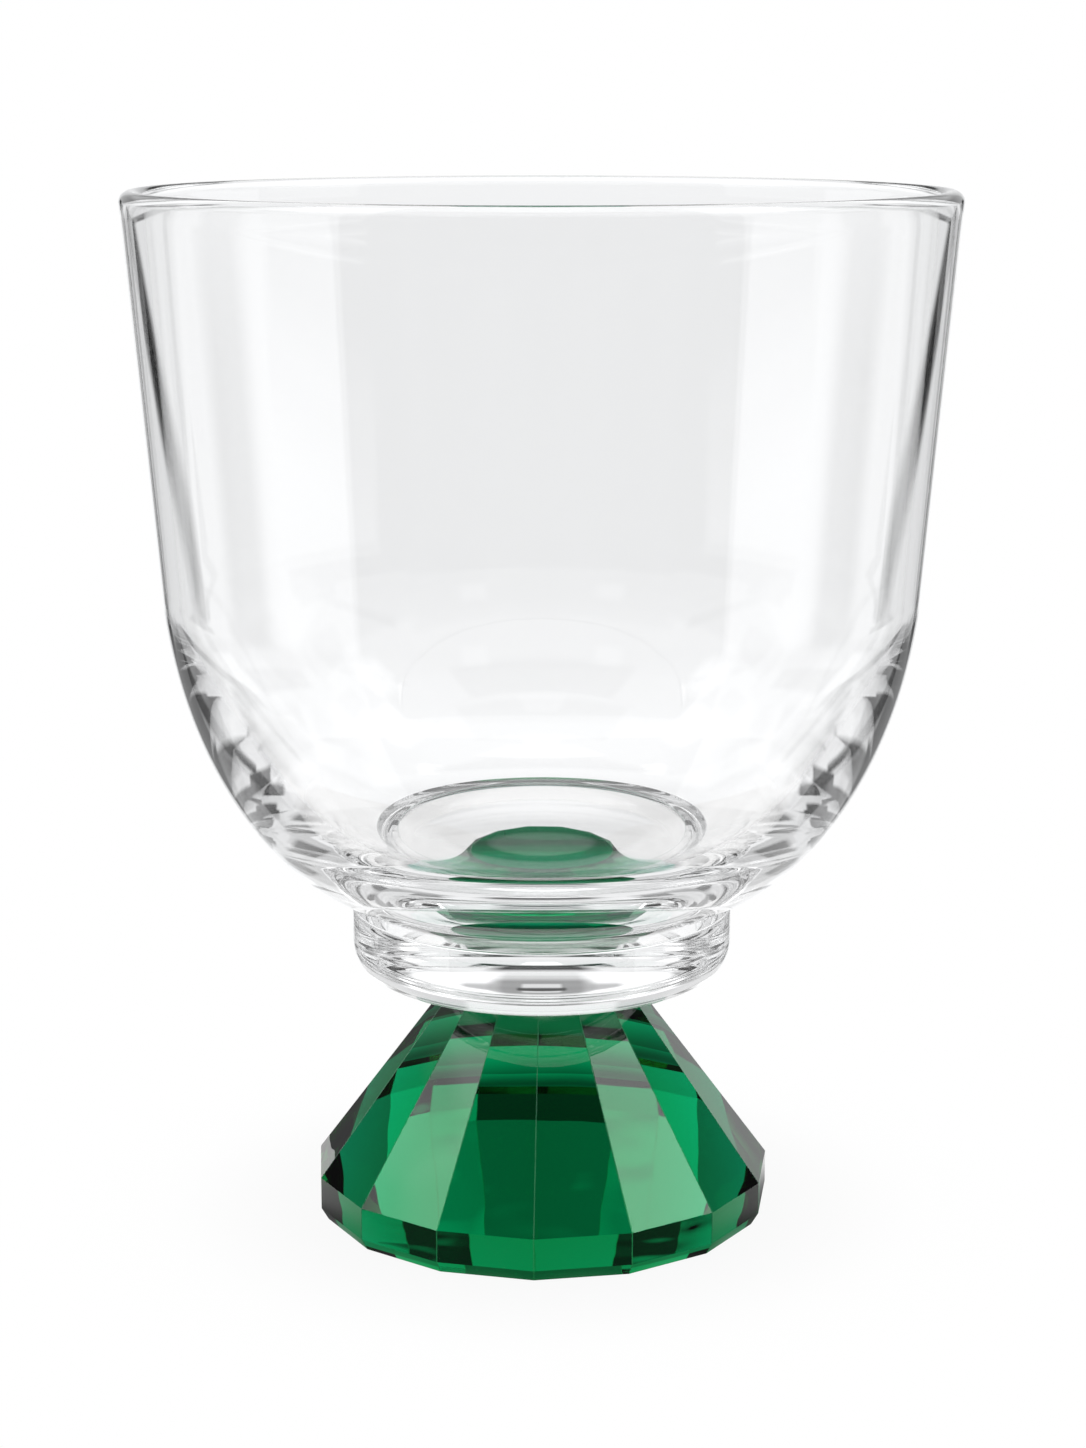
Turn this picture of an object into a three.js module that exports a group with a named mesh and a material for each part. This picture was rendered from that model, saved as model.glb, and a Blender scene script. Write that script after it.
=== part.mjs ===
// Footed crystal drinking glass: a clear turned bowl, a clear collar disc and a green cut foot,
// bonded one on another by two thin films of clear adhesive.
// Millimetres, +Z up, origin at the middle of the foot's flat underside, front towards -Y.
import * as THREE from 'three';

// Cut foot
const footSides = 15;
const footTurn = -1.9;
const footHeight = 27.2;
const footTopRadius = 9.4;
const girdleRadius = 25.9;
const girdleHeight = 3.6;
const baseBevelHeight = 1.35;
const baseBevelInset = 0.8;
const facetEdgeWidth = 0.35;

// Collar disc
const discRadius = 21.3;
const discThickness = 8.0;
const discLowerRound = 4.0;
const discUpperEdge = 0.3;

// Bowl
const bowlHeight = 79.2;
const bowlBaseRadius = 18.5;
const rimRadius = 45.2;
const wallAtRim = 2.45;
const outerKneeHeight = 36.5;
const outerKneeRadius = 41.73;
const outerKneePull = 18.4;
const basePull = 12.8;
const baseFlare = 14.0;
const innerKneeHeight = 35.5;
const wallAtKnee = 1.92;
const innerKneePull = 10.3;
const cornerRadius = 26.8;
const cornerHeight = 10.36;
const cornerSlope = 33.0;
const cornerPullUp = 4.9;
const cornerPullDown = 11.5;
const floorThickness = 5.54;
const floorPull = 12.95;

// Adhesive films: their thickness, and how far each stays inside the smaller face that it joins
const bondThickness = 0.15;
const bondMargin = 0.4;

// Fineness of the turned surfaces
const turnSegments = 72;
const curveSteps = 14;
const roundSteps = 6;

// Heights, from the table up
const discBase = footHeight + bondThickness;
const discTop = discBase + discThickness;
const bowlBase = discTop + bondThickness;
const rimTop = bowlBase + bowlHeight;

const radians = THREE.MathUtils.degToRad;

// A solid of revolution about Z, from points whose x is the radius and whose y is the height
function turned(profile) {
  const geometry = new THREE.LatheGeometry(profile, turnSegments);
  return geometry.rotateX(Math.PI / 2);
}

// A closed solid through level rings with equal numbers of points, the lowest ring first
function lofted(rings) {
  const count = rings[0].length;
  const positions = rings.flat().flatMap((point) => point.toArray());
  const index = [];
  for (let level = 0; level + 1 < rings.length; level += 1) {
    for (let side = 0; side < count; side += 1) {
      const next = (side + 1) % count;
      const low = level * count;
      const high = low + count;
      index.push(low + side, low + next, high + next);
      index.push(low + side, high + next, high + side);
    }
  }
  const top = (rings.length - 1) * count;
  for (let side = 1; side + 1 < count; side += 1) {
    index.push(0, side + 1, side);
    index.push(top, top + side, top + side + 1);
  }
  const geometry = new THREE.BufferGeometry();
  geometry.setAttribute('position', new THREE.Float32BufferAttribute(positions, 3));
  geometry.setIndex(index);
  geometry.computeVertexNormals();
  return geometry;
}

// One level outline of the cut foot: a regular polygon whose corners are ground off
// to narrow polished flats of the same width at every level
function footRing(cornerRadius, height) {
  const halfFlat = facetEdgeWidth / 2;
  const flatRadius = cornerRadius - halfFlat * Math.tan(Math.PI / footSides);
  const ring = [];
  for (let corner = 0; corner < footSides; corner += 1) {
    const angle = (2 * Math.PI * corner) / footSides - Math.PI / 2;
    const outward = new THREE.Vector2(Math.cos(angle), Math.sin(angle));
    const along = new THREE.Vector2(-outward.y, outward.x);
    for (const side of [-halfFlat, halfFlat]) {
      const point = outward.clone().multiplyScalar(flatRadius).addScaledVector(along, side);
      ring.push(new THREE.Vector3(point.x, point.y, height));
    }
  }
  return ring;
}

// Green foot: a base bevel, an upright girdle and a crown of long facets up to the flat top
function cutFoot() {
  const girdleTop = baseBevelHeight + girdleHeight;
  return lofted([
    footRing(girdleRadius - baseBevelInset, 0),
    footRing(girdleRadius, baseBevelHeight),
    footRing(girdleRadius, girdleTop),
    footRing(footTopRadius, footHeight),
  ]);
}

// Clear disc with a large round under its edge and a fine ground edge above
function collarDisc() {
  const under = new THREE.EllipseCurve(
    discRadius - discLowerRound, discBase + discLowerRound,
    discLowerRound, discLowerRound, -Math.PI / 2, 0,
  );
  return turned([
    new THREE.Vector2(0, discBase),
    ...under.getPoints(roundSteps),
    new THREE.Vector2(discRadius, discTop - discUpperEdge),
    new THREE.Vector2(discRadius - discUpperEdge, discTop),
    new THREE.Vector2(0, discTop),
  ]);
}

// Clear bowl: a flat ground base, a rounded underside, a flaring wall, a round lip and a deep hollow
function bowl() {
  const lipRadius = wallAtRim / 2;
  const lipHeight = rimTop - lipRadius;
  const outerKnee = new THREE.Vector2(outerKneeRadius, bowlBase + outerKneeHeight);
  const outerLip = new THREE.Vector2(rimRadius, lipHeight);
  const wallDown = outerKnee.clone().sub(outerLip).normalize();
  const baseEdge = new THREE.Vector2(bowlBaseRadius, bowlBase);
  const flare = new THREE.Vector2(Math.cos(radians(baseFlare)), Math.sin(radians(baseFlare)));
  const underside = new THREE.CubicBezierCurve(
    baseEdge,
    baseEdge.clone().addScaledVector(flare, basePull),
    outerKnee.clone().addScaledVector(wallDown, outerKneePull),
    outerKnee,
  );

  const lip = new THREE.EllipseCurve(rimRadius - lipRadius, lipHeight, lipRadius, lipRadius, 0, Math.PI);

  const innerLip = new THREE.Vector2(rimRadius - wallAtRim, lipHeight);
  const innerKneeZ = bowlBase + innerKneeHeight;
  const outerAtInnerKnee = outerKnee.x + (innerKneeZ - outerKnee.y) * (wallDown.x / wallDown.y);
  const innerKnee = new THREE.Vector2(outerAtInnerKnee - wallAtKnee, innerKneeZ);
  const boreDown = innerKnee.clone().sub(innerLip).normalize();
  const corner = new THREE.Vector2(cornerRadius, bowlBase + cornerHeight);
  const slope = new THREE.Vector2(Math.cos(radians(cornerSlope)), Math.sin(radians(cornerSlope)));
  const innerSide = new THREE.CubicBezierCurve(
    innerKnee,
    innerKnee.clone().addScaledVector(boreDown, innerKneePull),
    corner.clone().addScaledVector(slope, cornerPullUp),
    corner,
  );
  const floorMiddle = new THREE.Vector2(0, bowlBase + floorThickness);
  const innerFloor = new THREE.CubicBezierCurve(
    corner,
    corner.clone().addScaledVector(slope, -cornerPullDown),
    new THREE.Vector2(floorPull, floorMiddle.y),
    floorMiddle,
  );

  return turned([
    new THREE.Vector2(0, bowlBase),
    ...underside.getPoints(curveSteps),
    ...lip.getPoints(roundSteps),
    ...innerSide.getPoints(curveSteps),
    ...innerFloor.getPoints(curveSteps).slice(1),
  ]);
}

// A film of clear adhesive between two flat faces
function bondFilm(faceRadius, base) {
  const radius = faceRadius - bondMargin;
  return turned([
    new THREE.Vector2(0, base),
    new THREE.Vector2(radius, base),
    new THREE.Vector2(radius, base + bondThickness),
    new THREE.Vector2(0, base + bondThickness),
  ]);
}

function crystal(colour, opacity) {
  return new THREE.MeshStandardMaterial({
    color: colour, roughness: 0.03, metalness: 0, transparent: true, opacity,
  });
}

const clearColour = 0xeef3f2;
const greenColour = 0x0b6b41;
const bondColour = 0xf4f6f2;

const glass = new THREE.Group();

function addPiece(name, geometry, material) {
  const mesh = new THREE.Mesh(geometry, material);
  mesh.name = name;
  glass.add(mesh);
  return mesh;
}

const footTopFlat = footTopRadius * Math.cos(Math.PI / footSides);
const foot = addPiece('faceted_foot', cutFoot(), crystal(greenColour, 0.8));
foot.rotation.z = radians(footTurn);
addPiece('lower_bond_film', bondFilm(footTopFlat, footHeight), crystal(bondColour, 0.3));
addPiece('collar_disc', collarDisc(), crystal(clearColour, 0.35));
addPiece('upper_bond_film', bondFilm(bowlBaseRadius, discTop), crystal(bondColour, 0.3));
addPiece('bowl', bowl(), crystal(clearColour, 0.35));

export default glass;
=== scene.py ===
# %% [markdown]
# # A footed crystal drinking glass
# The glass is three pieces of crystal: a clear turned bowl, a clear round disc under it and a
# green cut foot. Two thin films of clear resin hold them together. This lesson dresses the packed
# solids, which give every size and place, with finer surfaces, because glass shows each flat of a
# coarse mesh. We load the solids as a fixed frame and read heights and sizes from their boxes.

# %% Load the frame
import math

import bpy
import numpy as np
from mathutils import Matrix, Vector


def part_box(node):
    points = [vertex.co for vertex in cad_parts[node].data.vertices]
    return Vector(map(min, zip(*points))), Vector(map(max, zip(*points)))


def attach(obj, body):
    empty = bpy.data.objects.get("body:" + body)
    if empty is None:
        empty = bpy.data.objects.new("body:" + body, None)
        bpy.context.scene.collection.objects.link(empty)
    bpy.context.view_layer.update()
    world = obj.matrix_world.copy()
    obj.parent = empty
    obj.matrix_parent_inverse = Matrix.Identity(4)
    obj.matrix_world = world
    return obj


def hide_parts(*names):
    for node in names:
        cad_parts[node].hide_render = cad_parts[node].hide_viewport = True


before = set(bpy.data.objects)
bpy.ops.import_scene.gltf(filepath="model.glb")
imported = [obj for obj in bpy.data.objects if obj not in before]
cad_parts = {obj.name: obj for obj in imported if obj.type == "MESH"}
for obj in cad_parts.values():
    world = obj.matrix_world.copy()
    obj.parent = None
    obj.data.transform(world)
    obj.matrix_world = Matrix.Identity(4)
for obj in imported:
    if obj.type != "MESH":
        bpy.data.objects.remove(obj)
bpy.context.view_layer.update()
MM = 0.001
scene = bpy.context.scene
print("nodes:", sorted(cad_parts))

# %% [markdown]
# ## Camera
# The picture looks at the glass from a little above the rim, so that the rim is a flat ellipse
# and the foot's underside stays hidden. Where the camera stands follows from the ellipses of rim
# and disc and from the corners of the foot. It looks along +Y and is tipped down by about twelve
# degrees.

# %% Camera
FRAME_HEIGHT_PX = 1448
FOCAL_PX = 3059.87
TIPPED_DOWN = 0.2088
STAND_MM = (0.14, -334.18, 126.58)
camera_data = bpy.data.cameras.new("picture_camera")
camera_data.sensor_width = 36.0
camera_data.lens = camera_data.sensor_width * FOCAL_PX / FRAME_HEIGHT_PX
camera_data.clip_start = 0.01
camera = bpy.data.objects.new("picture_camera", camera_data)
camera.location = [along * MM for along in STAND_MM]
camera.rotation_euler = (math.pi / 2 - TIPPED_DOWN, 0, 0)
scene.collection.objects.link(camera)
scene.camera = camera
print(f"camera: lens {camera_data.lens:.1f} mm, {camera.location.length / MM:.0f} mm away")

# %% [markdown]
# ## Curves and turned surfaces
# The bowl and the disc are turned, so each is a profile carried round the Z axis. A profile is
# made of cubic curves, straight runs and arcs. Blender's Screw modifier could turn it too, but a
# numpy grid gives every ring its own place in the array, which lets us say later which rings
# touch the resin.

# %% Curve helpers
def cubic_curve(start, leave, arrive, end, count):
    """Points on a cubic Bezier curve: each is the four given points weighted by (1-t)^3,
    3(1-t)^2 t, 3(1-t) t^2 and t^3, for t from 0 to 1."""
    t = np.linspace(0, 1, count)[:, None]
    start, leave, arrive, end = (np.asarray(p, float) for p in (start, leave, arrive, end))
    from_start = (1 - t) ** 3 * start + 3 * (1 - t) ** 2 * t * leave
    return from_start + 3 * (1 - t) * t ** 2 * arrive + t ** 3 * end


def arc(centre, radius, first, last, count):
    """Points on a circle about centre, at angles from first to last in degrees: centre plus the
    radius times the cosine and sine."""
    a = np.radians(np.linspace(first, last, count))
    return np.asarray(centre, float) + radius * np.stack([np.cos(a), np.sin(a)], -1)


def towards(degrees):
    """The unit step outwards and up at that many degrees above level: cosine and sine."""
    return np.array([math.cos(math.radians(degrees)), math.sin(math.radians(degrees))])


# %% Turning helper
def turned_grid(profile, sectors):
    """A profile of (radius, height) carried round Z: ring i and sector j give the point
    (radius cos, radius sin, height) at the angle 2 pi j / sectors. The first and last profile
    points are on the axis and become one pole each. Returns the points, the faces and each face's
    ring."""
    ring = profile[1:-1]
    angle = 2 * np.pi * np.arange(sectors) / sectors
    grid = np.empty((len(ring), sectors, 3))
    grid[..., 0] = ring[:, None, 0] * np.cos(angle)
    grid[..., 1] = ring[:, None, 0] * np.sin(angle)
    grid[..., 2] = ring[:, None, 1]
    poles = np.array([[0, 0, profile[0, 1]], [0, 0, profile[-1, 1]]])
    here = np.arange(sectors)
    there = np.roll(here, -1)
    low = (np.arange(len(ring) - 1) * sectors)[:, None]
    walls = np.stack([low + here, low + there, low + sectors + there, low + sectors + here], -1)
    top = (len(ring) - 1) * sectors
    first_pole, last_pole = top + sectors, top + sectors + 1
    first_cap = np.stack([np.full(sectors, first_pole), there, here], -1)
    last_cap = np.stack([np.full(sectors, last_pole), top + here, top + there], -1)
    faces = walls.reshape(-1, 4).tolist() + first_cap.tolist() + last_cap.tolist()
    wall_rings = np.repeat(np.arange(1, len(ring)), sectors)
    cap_rings = np.repeat([0, len(ring)], sectors)
    rings = np.concatenate([wall_rings, cap_rings])
    return np.concatenate([grid.reshape(-1, 3), poles]), faces, rings


def glass_piece(name, points, faces, smooth=True):
    """Puts points in millimetres and faces into a new mesh object at the origin."""
    mesh = bpy.data.meshes.new(name)
    mesh.from_pydata((points * MM).tolist(), [], faces)
    mesh.polygons.foreach_set("use_smooth", np.full(len(mesh.polygons), smooth))
    mesh.update()
    piece = bpy.data.objects.new(name, mesh)
    scene.collection.objects.link(piece)
    print(f"{name}: {len(mesh.vertices)} points, {len(mesh.polygons)} faces")
    return piece


# %% [markdown]
# ## Heights and joints
# The solids say where each piece starts and ends. The resin films are 0.15 mm thick and stop a
# little inside the smaller of the two faces that they join. Where a film lies, light passes from
# crystal into resin instead of air, so we keep each film's radius to tell those faces apart.

# %% Heights from the solids
def height_of(node):
    """Lowest and highest Z of a solid, in millimetres."""
    low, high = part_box(node)
    return low.z / MM, high.z / MM


FOOT_TOP = height_of("faceted_foot")[1]
DISC_BASE, DISC_TOP = height_of("collar_disc")
BOWL_BASE, RIM_TOP = height_of("bowl")
LOWER_FILM_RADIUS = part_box("lower_bond_film")[1].x / MM
UPPER_FILM_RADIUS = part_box("upper_bond_film")[1].x / MM
print(f"foot to {FOOT_TOP:.2f} mm, disc {DISC_BASE:.2f} to {DISC_TOP:.2f} mm")
print(f"bowl {BOWL_BASE:.2f} to {RIM_TOP:.2f} mm")

# %% [markdown]
# ## Bowl, outside
# The bowl is blown and turned crystal: ground flat underneath, rounded at the side, nearly
# straight above, with a fire-polished round lip. Its side below the knee is one cubic curve. It
# leaves the base edge at a shallow flare and arrives at the knee along the wall, so no crease
# shows there.

# %% Bowl, outer profile
BASE_RADIUS, RIM_RADIUS, LIP = 18.5, 45.2, 1.225
KNEE_RADIUS, KNEE_ABOVE_BASE = 41.73, 36.5
FLARE_DEGREES, FLARE_PULL, KNEE_PULL = 14, 12.8, 18.4
UNDERSIDE_POINTS = 90
outer_lip = np.array([RIM_RADIUS, RIM_TOP - LIP])
outer_knee = np.array([KNEE_RADIUS, BOWL_BASE + KNEE_ABOVE_BASE])
wall_down = (outer_knee - outer_lip) / np.linalg.norm(outer_knee - outer_lip)
base_edge = np.array([BASE_RADIUS, BOWL_BASE])
after_base = base_edge + FLARE_PULL * towards(FLARE_DEGREES)
below_knee = outer_knee + KNEE_PULL * wall_down
underside = cubic_curve(base_edge, after_base, below_knee, outer_knee, UNDERSIDE_POINTS)
print(f"bowl {2 * RIM_RADIUS:.1f} mm across the rim, {2 * BASE_RADIUS:.1f} mm across the base")

# %% [markdown]
# ## Bowl, inside
# The wall is about two millimetres thick and thickens to a heavy floor. The inner curve decides
# where the green foot shows through that floor, so it gets two cubic curves of its own: one down
# the side to a point on the corner, one from there to the middle of the floor. They share a slope
# at the corner.

# %% Bowl, inner profile
KNEE_DROP, KNEE_WALL, BORE_PULL = 1.0, 1.92, 10.3
CORNER_RADIUS, CORNER_ABOVE_BASE, CORNER_DEGREES = 26.8, 10.36, 33
SIDE_PULL, FLOOR_EDGE_PULL = 4.9, 11.5
FLOOR_THICKNESS, FLOOR_PULL = 5.54, 12.95
SIDE_POINTS, FLOOR_CURVE_POINTS = 70, 60
inner_lip = np.array([RIM_RADIUS - 2 * LIP, RIM_TOP - LIP])
lean = KNEE_DROP * wall_down[0] / wall_down[1]
inner_knee = np.array([outer_knee[0] - lean - KNEE_WALL, outer_knee[1] - KNEE_DROP])
bore_down = (inner_knee - inner_lip) / np.linalg.norm(inner_knee - inner_lip)
corner = np.array([CORNER_RADIUS, BOWL_BASE + CORNER_ABOVE_BASE])
up_corner = towards(CORNER_DEGREES)
floor_middle = np.array([0, BOWL_BASE + FLOOR_THICKNESS])
below_inner_knee = inner_knee + BORE_PULL * bore_down
above_corner = corner + SIDE_PULL * up_corner
inner_side = cubic_curve(inner_knee, below_inner_knee, above_corner, corner, SIDE_POINTS)
below_corner = corner - FLOOR_EDGE_PULL * up_corner
beside_middle = floor_middle + [FLOOR_PULL, 0]
inner_floor = cubic_curve(corner, below_corner, beside_middle, floor_middle, FLOOR_CURVE_POINTS)
print(f"bowl floor {FLOOR_THICKNESS:.2f} mm thick, wall {2 * LIP:.2f} mm at the lip")

# %% [markdown]
# ## Bowl mesh
# One closed profile runs from the middle of the base, out and up the outside, over the lip and
# down the inside to the middle of the floor. Turned with many sectors it is smooth enough for
# refraction. Only the ground base edge stays sharp.

# %% Bowl mesh
SECTORS = 288
BASE_RING, WALL_POINTS, LIP_POINTS = 9, 24, 22
BOWL_SHARP_DEGREES = 40
bowl_base = np.array([[0, BOWL_BASE], [BASE_RING, BOWL_BASE], [UPPER_FILM_RADIUS, BOWL_BASE]])
bowl_profile = np.concatenate([
    bowl_base,
    underside,
    np.linspace(outer_knee, outer_lip, WALL_POINTS)[1:-1],
    arc((RIM_RADIUS - LIP, RIM_TOP - LIP), LIP, 0, 180, LIP_POINTS),
    np.linspace(inner_lip, inner_knee, WALL_POINTS)[1:-1],
    inner_side,
    inner_floor[1:],
])
points, faces, bowl_rings = turned_grid(bowl_profile, SECTORS)
bowl = glass_piece("clear_bowl", points, faces)
bowl.data.set_sharp_from_angle(angle=math.radians(BOWL_SHARP_DEGREES))

# %% [markdown]
# ## Disc
# The disc is a thick clear plate with a large round under its edge and a fine ground edge on top.
# It carries the bowl, and its underside sits on the small top of the foot. It is turned like the
# bowl.

# %% Disc mesh
DISC_RADIUS, DISC_ROUND, DISC_EDGE = 21.3, 4.0, 0.3
ROUND_POINTS, EDGE_ARC_POINTS, DISC_SHARP_DEGREES = 30, 7, 30
under_round = (DISC_RADIUS - DISC_ROUND, DISC_BASE + DISC_ROUND)
top_edge = (DISC_RADIUS - DISC_EDGE, DISC_TOP - DISC_EDGE)
disc_profile = np.concatenate([
    [[0, DISC_BASE], [0.5 * LOWER_FILM_RADIUS, DISC_BASE], [LOWER_FILM_RADIUS, DISC_BASE]],
    arc(under_round, DISC_ROUND, -90, 0, ROUND_POINTS),
    arc(top_edge, DISC_EDGE, 0, 90, EDGE_ARC_POINTS),
    [[UPPER_FILM_RADIUS, DISC_TOP], [0.5 * UPPER_FILM_RADIUS, DISC_TOP], [0, DISC_TOP]],
])
points, faces, disc_rings = turned_grid(disc_profile, SECTORS)
disc = glass_piece("clear_disc", points, faces)
disc.data.set_sharp_from_angle(angle=math.radians(DISC_SHARP_DEGREES))

# %% [markdown]
# ## Foot
# The foot is cut, not turned: fifteen long crown facets slope from a small flat top down to an
# upright girdle, and a narrow bevel runs round the base. Where two facets meet, the polisher
# leaves a hair-thin ground edge; the light that it catches is a painted highlight, a paler colour
# on the edge strips. A Bevel modifier could cut it, but then we couldn't tell its faces from the
# facets. So each level of the foot is a polygon with its corners rounded one by one, and the facets
# between two levels are ruled straight, so they stay truly flat.

# %% Foot outline
FOOT_SIDES, FOOT_TURN = 15, math.radians(-1.9)
EDGE_WIDTH, EDGE_POINTS = 0.13, 3


def rounded_polygon(corner_radius, height):
    """One level outline: at each corner, points spread along an arc whose chord is the edge width
    and which turns by one side's angle, set so that the flats beside it lie on the polygon's
    sides."""
    turn = 2 * np.pi / FOOT_SIDES
    arc_radius = EDGE_WIDTH / (2 * math.sin(turn / 2))
    centre_radius = corner_radius - arc_radius / math.cos(turn / 2)
    corner_angle = turn * np.arange(FOOT_SIDES)[:, None] - np.pi / 2 + FOOT_TURN
    edge_angle = corner_angle + np.linspace(-turn / 2, turn / 2, EDGE_POINTS)
    x = centre_radius * np.cos(corner_angle) + arc_radius * np.cos(edge_angle)
    y = centre_radius * np.sin(corner_angle) + arc_radius * np.sin(edge_angle)
    return np.stack([x, y, np.full_like(x, height)], -1).reshape(-1, 3)


GIRDLE_RADIUS, GIRDLE_HEIGHT, TOP_RADIUS = 25.9, 3.6, 9.4
BEVEL_HEIGHT, BEVEL_INSET = 1.35, 0.8
foot_levels = np.stack([
    rounded_polygon(GIRDLE_RADIUS - BEVEL_INSET, 0),
    rounded_polygon(GIRDLE_RADIUS, BEVEL_HEIGHT),
    rounded_polygon(GIRDLE_RADIUS, BEVEL_HEIGHT + GIRDLE_HEIGHT),
    rounded_polygon(TOP_RADIUS, FOOT_TOP),
])
print("foot:", len(foot_levels), "levels of", foot_levels.shape[1], "points")

# %% [markdown]
# ## Foot mesh
# The strips that belong to a ground edge are marked by a face attribute for the ground edge and its
# painted highlight, which is one on them and zero on the facets. The green material reads it later.
# Shading stays flat.

# %% Foot mesh
around = foot_levels.shape[1]
here = np.arange(around)
there = np.roll(here, -1)
low = (np.arange(len(foot_levels) - 1) * around)[:, None]
foot_faces = np.stack([low + here, low + there, low + around + there, low + around + here], -1)
foot_faces = foot_faces.reshape(-1, 4).tolist()
foot_faces += [here[::-1].tolist(), ((len(foot_levels) - 1) * around + here).tolist()]
foot = glass_piece("green_foot", foot_levels.reshape(-1, 3), foot_faces, smooth=False)
edge_strip = np.zeros(len(foot_faces), np.float32)
edge_strip[:-2] = np.tile(here % EDGE_POINTS < EDGE_POINTS - 1, len(foot_levels) - 1)
edge_mark = foot.data.attributes.new("ground_edge_with_painted_highlight", "FLOAT", "FACE")
edge_mark.data.foreach_set("value", edge_strip)
print("ground edge strips:", int(edge_strip.sum()))

# %% [markdown]
# ## Resin films
# Each film is a thin disc of cured clear resin. It is drawn a hair thinner than the gap between
# its two faces, because two surfaces in exactly the same place confuse a ray tracer.

# %% Film meshes
HAIR = 0.005
FILM_SECTORS, FILM_RIM_POINTS = 96, 9
FILM_FLAT = 0.6


def film_piece(name, radius, low, high):
    """A thin turned disc with a slightly bulged rim: a flat, a half-round rim and a flat."""
    half = (high - low) / 2
    profile = np.concatenate([
        [[0, low], [FILM_FLAT * radius, low]],
        arc((radius - half, low + half), half, -90, 90, FILM_RIM_POINTS),
        [[FILM_FLAT * radius, high], [0, high]],
    ])
    points, faces, rings = turned_grid(profile, FILM_SECTORS)
    return glass_piece(name, points, faces), rings


lower_film, lower_rings = film_piece(
    "lower_resin_film", LOWER_FILM_RADIUS, FOOT_TOP + HAIR, DISC_BASE - HAIR)
upper_film, upper_rings = film_piece(
    "upper_resin_film", UPPER_FILM_RADIUS, DISC_TOP + HAIR, BOWL_BASE - HAIR)

# %% [markdown]
# ## Clear crystal
# Polished crystal is a Principled shader with full transmission and no roughness. Real turned
# crystal isn't optically perfect, so a very faint, slow noise is fed to a Bump node: it makes the
# straight edges of reflected lamps wander by a hair, and nothing more.

# %% Finish helpers
def new_finish(name):
    """A node material, its Principled shader and its output."""
    finish = bpy.data.materials.new(name)
    finish.use_nodes = True
    nodes = finish.node_tree.nodes
    return finish, nodes["Principled BSDF"], nodes["Material Output"]


def crystal(shader, ior):
    """Sets a Principled shader to polished crystal of that index."""
    shader.inputs["Roughness"].default_value = 0.0
    shader.inputs["IOR"].default_value = ior
    shader.inputs["Transmission Weight"].default_value = 1.0
    shader.inputs["Base Color"].default_value = (1, 1, 1, 1)


def slow_waves(finish, shader, size_mm, depth_mm):
    """Bump from a noise on Object coordinates whose lumps are size_mm across and depth_mm high."""
    tree = finish.node_tree
    place = tree.nodes.new("ShaderNodeTexCoord")
    noise = tree.nodes.new("ShaderNodeTexNoise")
    noise.inputs["Scale"].default_value = 1 / (size_mm * MM)
    noise.inputs["Detail"].default_value = 1.0
    bump = tree.nodes.new("ShaderNodeBump")
    bump.inputs["Strength"].default_value = 1.0
    bump.inputs["Distance"].default_value = depth_mm * MM
    tree.links.new(place.outputs["Object"], noise.inputs["Vector"])
    tree.links.new(noise.outputs["Fac"], bump.inputs["Height"])
    tree.links.new(bump.outputs["Normal"], shader.inputs["Normal"])


# %% Clear crystal
CRYSTAL_IOR, RESIN_IOR = 1.52, 1.41
CLEAR_WAVES = (14.0, 0.004)
clear_crystal, clear_shader, _ = new_finish("polished_clear_crystal")
crystal(clear_shader, CRYSTAL_IOR)
slow_waves(clear_crystal, clear_shader, *CLEAR_WAVES)
print("clear crystal, index", CRYSTAL_IOR)

# %% [markdown]
# ## Crystal against resin
# Where a film wets the crystal, light crosses from index 1.52 to 1.41, not to air. A shader's IOR
# is the ratio across its surface, so these faces get 1.52 / 1.41. Steep rays then pass almost
# unbent, which is why the green foot shows through the bowl's floor, and shallow ones are
# mirrored, which is why hardly any green shows through the side of the disc.

# %% Joint faces
joint_face, joint_shader, _ = new_finish("clear_crystal_on_resin")
crystal(joint_shader, CRYSTAL_IOR / RESIN_IOR)


def wet_by_resin(piece, rings, wet_rings):
    """Gives a piece its crystal, and the joint finish on the faces of the rings that resin wets."""
    piece.data.materials.append(clear_crystal)
    piece.data.materials.append(joint_face)
    on_joint = np.isin(rings, wet_rings).astype(np.int32)
    piece.data.polygons.foreach_set("material_index", on_joint)
    piece.data.update()


disc_top_ring = len(disc_profile) - 2
wet_by_resin(bowl, bowl_rings, [0, 1])
wet_by_resin(disc, disc_rings, [0, 1, disc_top_ring, disc_top_ring - 1])
print("joint faces on bowl and disc")

# %% [markdown]
# ## Green crystal, surface
# The foot has three kinds of surface, and one material serves all of them, because a ray that
# enters through one and leaves through another must stay in the same glass. The facets are
# polished, with slow waves as hand polishing leaves them. The flat top touches the resin, so it
# has the joint's ratio and is chosen by height on Object coordinates. The ground edges are a
# little rough, and their paler colour is a painted highlight; they are chosen by the face
# attribute.

# %% Green facets and top
FACET_WAVES = (12.0, 0.12)
JUST_BELOW_TOP = FOOT_TOP - 0.01
green_crystal, green_shader, green_output = new_finish("polished_green_crystal")
green_tree = green_crystal.node_tree
crystal(green_shader, CRYSTAL_IOR)
slow_waves(green_crystal, green_shader, *FACET_WAVES)
top_shader = green_tree.nodes.new("ShaderNodeBsdfPrincipled")
crystal(top_shader, CRYSTAL_IOR / RESIN_IOR)
place = green_tree.nodes.new("ShaderNodeTexCoord")
split = green_tree.nodes.new("ShaderNodeSeparateXYZ")
on_top = green_tree.nodes.new("ShaderNodeMath")
on_top.operation = "GREATER_THAN"
on_top.inputs[1].default_value = JUST_BELOW_TOP * MM
facets_and_top = green_tree.nodes.new("ShaderNodeMixShader")
green_tree.links.new(place.outputs["Object"], split.inputs[0])
green_tree.links.new(split.outputs["Z"], on_top.inputs[0])
green_tree.links.new(on_top.outputs[0], facets_and_top.inputs[0])
green_tree.links.new(green_shader.outputs[0], facets_and_top.inputs[1])
green_tree.links.new(top_shader.outputs[0], facets_and_top.inputs[2])
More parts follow.
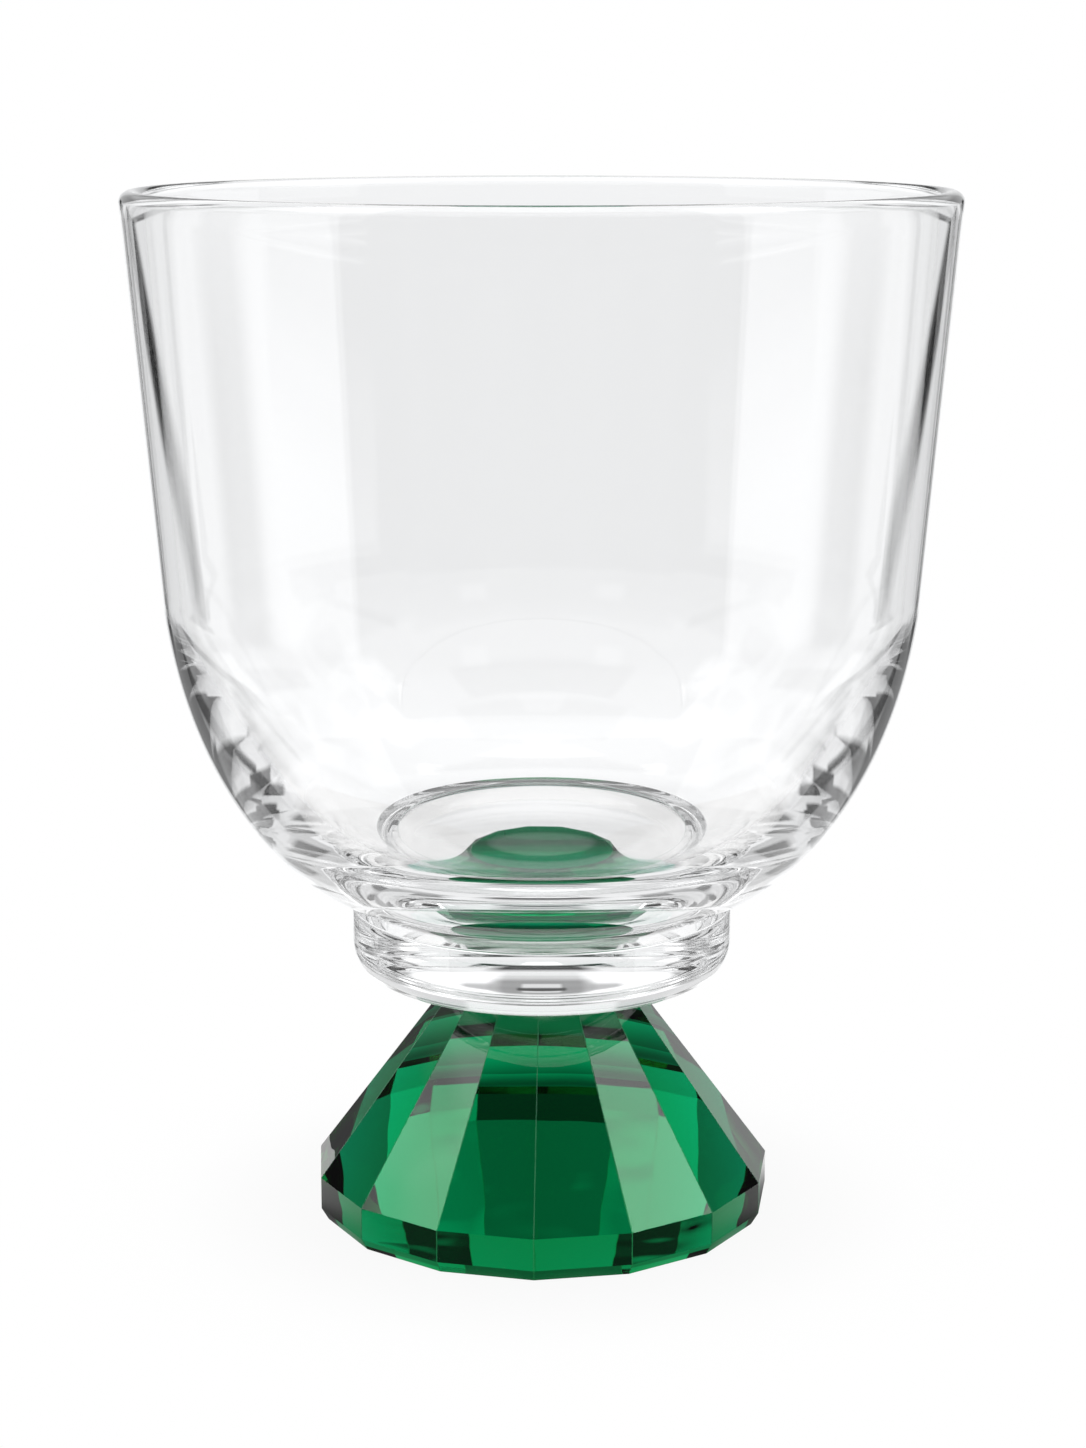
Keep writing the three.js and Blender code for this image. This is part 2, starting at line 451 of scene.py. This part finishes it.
print("green facets and top")

# %% Ground edges and their painted highlight
edge_shader_with_painted_highlight = green_tree.nodes.new("ShaderNodeBsdfPrincipled")
crystal(edge_shader_with_painted_highlight, CRYSTAL_IOR)
edge_shader_with_painted_highlight.inputs["Roughness"].default_value = 0.25
edge_shader_with_painted_highlight.inputs["Transmission Weight"].default_value = 0.9
# Painted highlight: the pale mint base colour brightens the edge strips, standing for light that
# they catch; the roughness is their real ground finish.
edge_shader_with_painted_highlight.inputs["Base Color"].default_value = (0.3, 0.8, 0.55, 1)
on_edge = green_tree.nodes.new("ShaderNodeAttribute")
on_edge.attribute_name = "ground_edge_with_painted_highlight"
with_edges = green_tree.nodes.new("ShaderNodeMixShader")
green_tree.links.new(on_edge.outputs["Fac"], with_edges.inputs[0])
green_tree.links.new(facets_and_top.outputs[0], with_edges.inputs[1])
green_tree.links.new(edge_shader_with_painted_highlight.outputs[0], with_edges.inputs[2])
green_tree.links.new(with_edges.outputs[0], green_output.inputs["Surface"])
print("ground edges finished")

# %% [markdown]
# ## Green crystal, colour
# The colour is in the glass itself, so it comes from a Volume Absorption and deepens with the way
# that light travels inside: red is swallowed within a few millimetres, blue more slowly, and
# green least. Absorption along a way is the density times one minus the colour, so the colour
# follows from the three numbers.

# %% Green colour
SWALLOWED_PER_METRE = (200.0, 29.0, 55.0)
most_swallowed = max(SWALLOWED_PER_METRE)
tint = green_tree.nodes.new("ShaderNodeVolumeAbsorption")
tint.inputs["Density"].default_value = most_swallowed
left_over = [1 - part / most_swallowed for part in SWALLOWED_PER_METRE]
tint.inputs["Color"].default_value = (*left_over, 1)
green_tree.links.new(tint.outputs[0], green_output.inputs["Volume"])
foot.data.materials.append(green_crystal)
print("green crystal, absorption per metre", SWALLOWED_PER_METRE)

# %% [markdown]
# ## Resin
# The film's flats wet the crystal, and the crystal's own joint faces already bend the light
# there, so the flats are left with an index of 1, which lets everything pass. Only the thin rim
# meets air.

# %% Resin
RIM_WAVES = (3.0, 0.004)
resin_rim, rim_shader, _ = new_finish("cured_resin_rim")
crystal(rim_shader, RESIN_IOR)
slow_waves(resin_rim, rim_shader, *RIM_WAVES)
resin_flat, flat_shader, _ = new_finish("cured_resin_in_joint")
crystal(flat_shader, 1.0)
for film, rings in ((lower_film, lower_rings), (upper_film, upper_rings)):
    film.data.materials.append(resin_rim)
    film.data.materials.append(resin_flat)
    flats = np.isin(rings, [0, 1, rings.max() - 1, rings.max()])
    film.data.polygons.foreach_set("material_index", flats.astype(np.int32))
    film.data.update()
print("resin films finished")

# %% [markdown]
# ## Into the frame
# Each dressed piece stands for one solid and rides on the part's single body.

# %% Ride and replace
for piece, node, slot in (
    (bowl, "bowl", "clear_crystal"),
    (upper_film, "upper_bond_film", "clear_adhesive"),
    (disc, "collar_disc", "clear_crystal"),
    (lower_film, "lower_bond_film", "clear_adhesive"),
    (foot, "faceted_foot", "green_crystal"),
):
    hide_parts(node)
    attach(piece, "root")
print("pieces ride on root")

# %% [markdown]
# ## Floor
# The glass stands on a plain white table. Only a round of it near the foot is needed, because the
# white surroundings carry on from there. It lies a hair below the foot's base.

# %% Floor
FLOOR_RADIUS, FLOOR_DROP, FLOOR_POINTS = 0.075, 0.00003, 128
angle = 2 * np.pi * np.arange(FLOOR_POINTS) / FLOOR_POINTS
edge_x, edge_y = FLOOR_RADIUS * np.cos(angle), FLOOR_RADIUS * np.sin(angle)
edge = np.stack([edge_x, edge_y, np.full(FLOOR_POINTS, -FLOOR_DROP)], -1)
floor_mesh = bpy.data.meshes.new("white_table")
floor_mesh.from_pydata(edge.tolist(), [], [list(range(FLOOR_POINTS))])
floor = bpy.data.objects.new("white_table", floor_mesh)
scene.collection.objects.link(floor)
print("floor", FLOOR_RADIUS, "m")

# %% [markdown]
# ## Painted light and shade on the table
# To the camera the table is white with a faint painted shadow round the foot; only a small lit
# share of it takes a real shadow. Into the glass it shines white only behind the foot. In front of
# it and close beside it the table is painted dark, because a foot that looked down on a bright
# table all round would glow instead of being deep green, and under the base painted shade leaves it
# half bright. The table glows by an Emission shader at that painted level, worked out from the
# place on the table: from the distance to the axis, and from how far in front or behind a point
# lies.

# %% Table finish and helper
table_finish, table_shader, table_output = new_finish("white_table")
table_shader.inputs["Base Color"].default_value = (0.9, 0.9, 0.9, 1)
table_shader.inputs["Roughness"].default_value = 0.7
table_shader.inputs["Specular IOR Level"].default_value = 0.0
table_tree = table_finish.node_tree
place = table_tree.nodes.new("ShaderNodeTexCoord")
from_axis = table_tree.nodes.new("ShaderNodeVectorMath")
from_axis.operation = "LENGTH"
table_tree.links.new(place.outputs["Object"], from_axis.inputs[0])
depth = table_tree.nodes.new("ShaderNodeSeparateXYZ")
table_tree.links.new(place.outputs["Object"], depth.inputs[0])


def ramp(value, reach_mm, low, high, smooth):
    """A value that goes from low to high while another goes through a reach of two lengths, in a
    straight line or, if smooth, with soft ends."""
    node = table_tree.nodes.new("ShaderNodeMapRange")
    node.interpolation_type = "SMOOTHSTEP" if smooth else "LINEAR"
    node.inputs["From Min"].default_value = reach_mm[0] * MM
    node.inputs["From Max"].default_value = reach_mm[1] * MM
    node.inputs["To Min"].default_value = low
    node.inputs["To Max"].default_value = high
    table_tree.links.new(value, node.inputs["Value"])
    return node.outputs["Result"]


def rise(reach_mm, low, high):
    """A value that rises smoothly from low to high between two distances from the axis."""
    return ramp(from_axis.outputs["Value"], reach_mm, low, high, True)


def between(share, first, second):
    """A Mix node of two values or sockets: the first where share is zero, the second where one."""
    node = table_tree.nodes.new("ShaderNodeMix")
    table_tree.links.new(share, node.inputs["Factor"])
    for name, value in (("A", first), ("B", second)):
        if isinstance(value, (int, float)):
            node.inputs[name].default_value = value
        else:
            table_tree.links.new(value, node.inputs[name])
    return node.outputs["Result"]


print("table finish started")

# %% Painted table brightness
# Painted shade and shadow: into the glass the table is dark in front of and close beside the foot
# and half bright under it; to the camera a faint painted shadow rings the foot.
PAINTED_DARK_TABLE, PAINTED_SHADE_UNDER_FOOT, PAINTED_SHADOW = 0.06, 0.45, 0.965
FRONT_TO_BACK, EDGE_OF_FOOT, CLOSE_BESIDE = (-20, 5), (23.5, 25.5), (25.5, 31)
SHADOW_REACH, PAINT_REACH = (25, 45), (26, 60)
SHARE_AT_EDGE, LEAST_SHINE = 0.12, 0.97
behind = ramp(depth.outputs["Y"], FRONT_TO_BACK, PAINTED_DARK_TABLE, 1.0, False)
beside = between(rise(CLOSE_BESIDE, SHARE_AT_EDGE, 1.0), PAINTED_DARK_TABLE, behind)
into_glass = between(rise(EDGE_OF_FOOT, 0.0, 1.0), PAINTED_SHADE_UNDER_FOOT, beside)
path = table_tree.nodes.new("ShaderNodeLightPath")
to_camera = rise(SHADOW_REACH, PAINTED_SHADOW, 1.0)
level = between(path.outputs["Is Camera Ray"], into_glass, to_camera)
# The table glows by this Emission at the painted level; near the foot a small share of lit white,
# which takes a real shadow, is blended in.
painted_glow = table_tree.nodes.new("ShaderNodeEmission")
table_tree.links.new(level, painted_glow.inputs["Strength"])
blend = table_tree.nodes.new("ShaderNodeMixShader")
table_tree.links.new(rise(PAINT_REACH, LEAST_SHINE, 1.0), blend.inputs[0])
table_tree.links.new(table_shader.outputs[0], blend.inputs[1])
table_tree.links.new(painted_glow.outputs[0], blend.inputs[2])
table_tree.links.new(blend.outputs[0], table_output.inputs["Surface"])
floor_mesh.materials.append(table_finish)
print("white table finished")

# %% [markdown]
# ## Studio surroundings
# Clear glass has no colour of its own: all that it shows is the room. A photographer of glass
# puts a white backdrop behind it that is hardly wider than the picture, black flags beside it so
# that the edges come out dark, white panels at the sides, soft lamps overhead, and keeps the
# camera's own side dark. Area lamps and planes could build that room, but they would stand in
# other views. So the world paints it by direction: a plain grey, then one card or lamp over
# another. Each has two angles round the room, counted from the backdrop to either side, two
# heights in degrees, and a grey.

# %% Directions of the world
world = bpy.data.worlds.new("studio")
world.use_nodes = True
scene.world = world
world_tree = world.node_tree
world_tree.nodes.clear()
direction = world_tree.nodes.new("ShaderNodeTexCoord")
axes = world_tree.nodes.new("ShaderNodeSeparateXYZ")
world_tree.links.new(direction.outputs["Generated"], axes.inputs[0])


def arithmetic(operation, *values):
    """One Math node on sockets or plain numbers."""
    node = world_tree.nodes.new("ShaderNodeMath")
    node.operation = operation
    for place_in_node, value in enumerate(values):
        if isinstance(value, (int, float)):
            node.inputs[place_in_node].default_value = value
        else:
            world_tree.links.new(value, node.inputs[place_in_node])
    return node.outputs[0]


DEGREES = 180 / math.pi
sideways = arithmetic("ABSOLUTE", axes.outputs["X"])
turned = arithmetic("ARCTAN2", sideways, axes.outputs["Y"])
round_room = arithmetic("MULTIPLY", turned, DEGREES)
above_horizon = arithmetic("MULTIPLY", arithmetic("ARCSINE", axes.outputs["Z"]), DEGREES)
print("world directions in degrees, the same to the left and to the right")

# %% Card helpers
def within(angle, start, end, soft):
    """One between two angles and zero outside, with straight ramps soft degrees wide at both
    ends."""
    from_start = arithmetic("DIVIDE", arithmetic("SUBTRACT", angle, start - soft / 2), soft)
    from_end = arithmetic("DIVIDE", arithmetic("SUBTRACT", end + soft / 2, angle), soft)
    nearest = arithmetic("MINIMUM", from_start, from_end)
    return arithmetic("MINIMUM", arithmetic("MAXIMUM", nearest, 0.0), 1.0)


def chosen(share, yes, no):
    """The value yes where share is one and no where it is zero: no plus the share of their
    difference."""
    step = arithmetic("MULTIPLY", share, arithmetic("SUBTRACT", yes, no))
    return arithmetic("ADD", no, step)


def card(room, around, heights, grey, soft=2.0, slant=0.0):
    """The room with one more card: its grey laid over what was there before. With a slant, the
    card's heights fall by that many degrees for each degree round the room from its first edge."""
    past_edge = arithmetic("SUBTRACT", round_room, around[0])
    level = arithmetic("ADD", above_horizon, arithmetic("MULTIPLY", past_edge, slant))
    across, upright = within(round_room, *around, soft), within(level, *heights, soft)
    return chosen(arithmetic("MULTIPLY", across, upright), grey, room)


def hang(room, cards):
    """The room with a list of named cards hung in it, each over those before it."""
    for _, *measures in cards:
        room = card(room, *measures)
    print("hung:", ", ".join(name for name, *_ in cards))
    return room


# %% [markdown]
# ## Walls, flags and panels
# The room is pale grey with a lighter ceiling and floor. Black flags stand at the sides, low and
# high: the rounded side of the bowl folds them into its dark outlines. White panels stand beside
# the backdrop, above it, and light the foot's side facets. An angle past the middle of the
# backdrop or of the camera's side keeps a card's soft edge off that middle.

# %% Walls, flags and panels
MIDDLE, CAMERA_SIDE = -9, 189
PLAIN_GREY = 0.75
room = hang(PLAIN_GREY, [
    ("ceiling", (MIDDLE, CAMERA_SIDE), (28, 99), 0.95),
    ("pale ground", (MIDDLE, CAMERA_SIDE), (-99, -29), 0.9),
    ("grey side wall", (40, 76), (15, 32), 0.55),
    ("long black flag", (84, 152), (2.5, 11.5), 0.04, 1.5),
    ("step on that flag", (86, 103), (9, 15), 0.04, 1.5),
    ("black flag beside the camera", (133, CAMERA_SIDE), (4, 14), 0.06),
    ("tilted black flag", (97, 122), (13.5, 17), 0.05, 1.5, -0.53),
    ("small high flag", (83, 97), (22, 30), 0.04, 2.0),
    ("soft black flag", (53, 72), (11, 24), 0.05, 4.0),
    ("grey beside that flag", (41, 53), (11, 24), 0.5, 4.0),
    ("white panel", (10, 37), (13, 33), 1.3, 4.0),
    ("grey foot of the panel", (9, 18), (13, 20.5), 0.6, 3.0),
])

# %% [markdown]
# ## Backdrop and lamps
# The backdrop fills what shows straight through the bowl, and its foot is lit a little more. The
# grey and black above it are what the foot mirrors from its base: they make its front deep green
# and give the green patch in the bowl's floor its lighter middle. The lamps give the paler side
# facets their gloss and the rim its highlights.

# %% Backdrop and lamps
room = hang(room, [
    ("backdrop", (MIDDLE, 16), (-60, 12), 0.98),
    ("lit foot of the backdrop", (MIDDLE, 18), (-40, -18), 1.1, 14.0),
    ("grey top of the backdrop", (MIDDLE, 10), (13, 24), 0.38, 4.0),
    ("black slot in that top", (MIDDLE, 5), (13.5, 17.4), 0.12, 0.8),
    ("white strip over the slot", (MIDDLE, 4), (17.4, 20), 0.8, 0.8),
    ("black over the backdrop", (MIDDLE, 14), (36, 60), 0.08, 6.0),
    ("side lamps", (92, 107), (34, 44), 3.4, 5.0),
    ("lamps behind the sides", (55, 77), (54, 61), 3.4),
    ("lamp over the backdrop", (MIDDLE, 18), (60, 73), 2.0),
    ("black under the front lamp", (136, CAMERA_SIDE), (44, 58), 0.02, 3.0),
    ("front lamp", (165, CAMERA_SIDE), (60, 72), 1.6),
    ("small lamps beside the camera", (150, 160), (20, 26), 1.6),
])

# %% [markdown]
# ## Two ways through the glass
# Below the horizon the room has two faces. Light that only passed through the glass meets a pale
# room all round, so that the bowl stays clear against white from every side. Light that was
# mirrored on its way, by a face or inside the glass, meets the panels and flags that draw the
# outlines: white panels and a dark camera side, a thin tilted flag for the line down the wall,
# and flags near the ground for the dark folds low on the bowl. Light Path's Glossy Depth counts
# those mirrorings.

# %% Light that passed and light that was mirrored
through = hang(room, [("pale room all round", (18, CAMERA_SIDE), (-70, -2.5), 0.85, 4.0)])
mirrored = hang(room, [
    ("side panel", (51, 130), (-16.5, -4), 1.0, 3.0),
    ("dark gap in the panel", (73, 90), (-19, -7), 0.15, 4.0),
    ("bright end of the panel", (93, 140), (-18, -9), 1.5, 8.0),
    ("dark camera side", (123, CAMERA_SIDE), (-50, 5), 0.08, 1.0),
    ("dark edge of the backdrop", (18, 24), (-14, -2), 0.12, 1.0),
    ("black edge of the backdrop", (16.8, 21.5), (-3.2, 1.5), 0.06, 1.0),
    ("thin tilted flag", (29, 60), (-5, -2.3), 0.02, 0.8, 0.33),
    ("flag near the ground", (66, 95), (-36, -28), 0.08),
    ("white panel near the ground", (51, 64), (-35, -22), 1.5),
    ("flag under that panel", (44, 58), (-37, -32), 0.05),
    ("grey beside the backdrop's foot", (17, 33), (-22, -13), 0.35, 1.5),
    ("tilted flag near the ground", (33, 60), (-18.5, -13.5), 0.08, 1.5, 0.78),
])

# %% [markdown]
# ## World output
# Straight to the camera the world is plain white, at a strength of 1. The glass sees the studio,
# whose white is the faintest bit cool, as daylight lamps are.

# %% World output
studio = world_tree.nodes.new("ShaderNodeBackground")
studio.inputs["Color"].default_value = (0.985, 0.992, 1.0, 1)
backdrop = world_tree.nodes.new("ShaderNodeBackground")
backdrop.inputs["Color"].default_value = (1, 1, 1, 1)
path = world_tree.nodes.new("ShaderNodeLightPath")
was_mirrored = arithmetic("GREATER_THAN", path.outputs["Glossy Depth"], 0.5)
world_tree.links.new(chosen(was_mirrored, mirrored, through), studio.inputs["Strength"])
pick = world_tree.nodes.new("ShaderNodeMixShader")
world_output = world_tree.nodes.new("ShaderNodeOutputWorld")
world_tree.links.new(path.outputs["Is Camera Ray"], pick.inputs[0])
world_tree.links.new(studio.outputs[0], pick.inputs[1])
world_tree.links.new(backdrop.outputs[0], pick.inputs[2])
world_tree.links.new(pick.outputs[0], world_output.inputs["Surface"])
print("world painted by direction")

# %% [markdown]
# ## Light paths
# A ray may pass a dozen faces of this glass and be mirrored inside it many times more, so the
# limits on bounces are raised, or the deep green and the folded edges would turn black.

# %% Bounces and view
BOUNCES = 40
scene.cycles.max_bounces = BOUNCES
scene.cycles.transmission_bounces = BOUNCES
scene.cycles.glossy_bounces = BOUNCES
scene.cycles.transparent_max_bounces = BOUNCES
scene.view_settings.view_transform = "Standard"
print("up to", BOUNCES, "bounces")
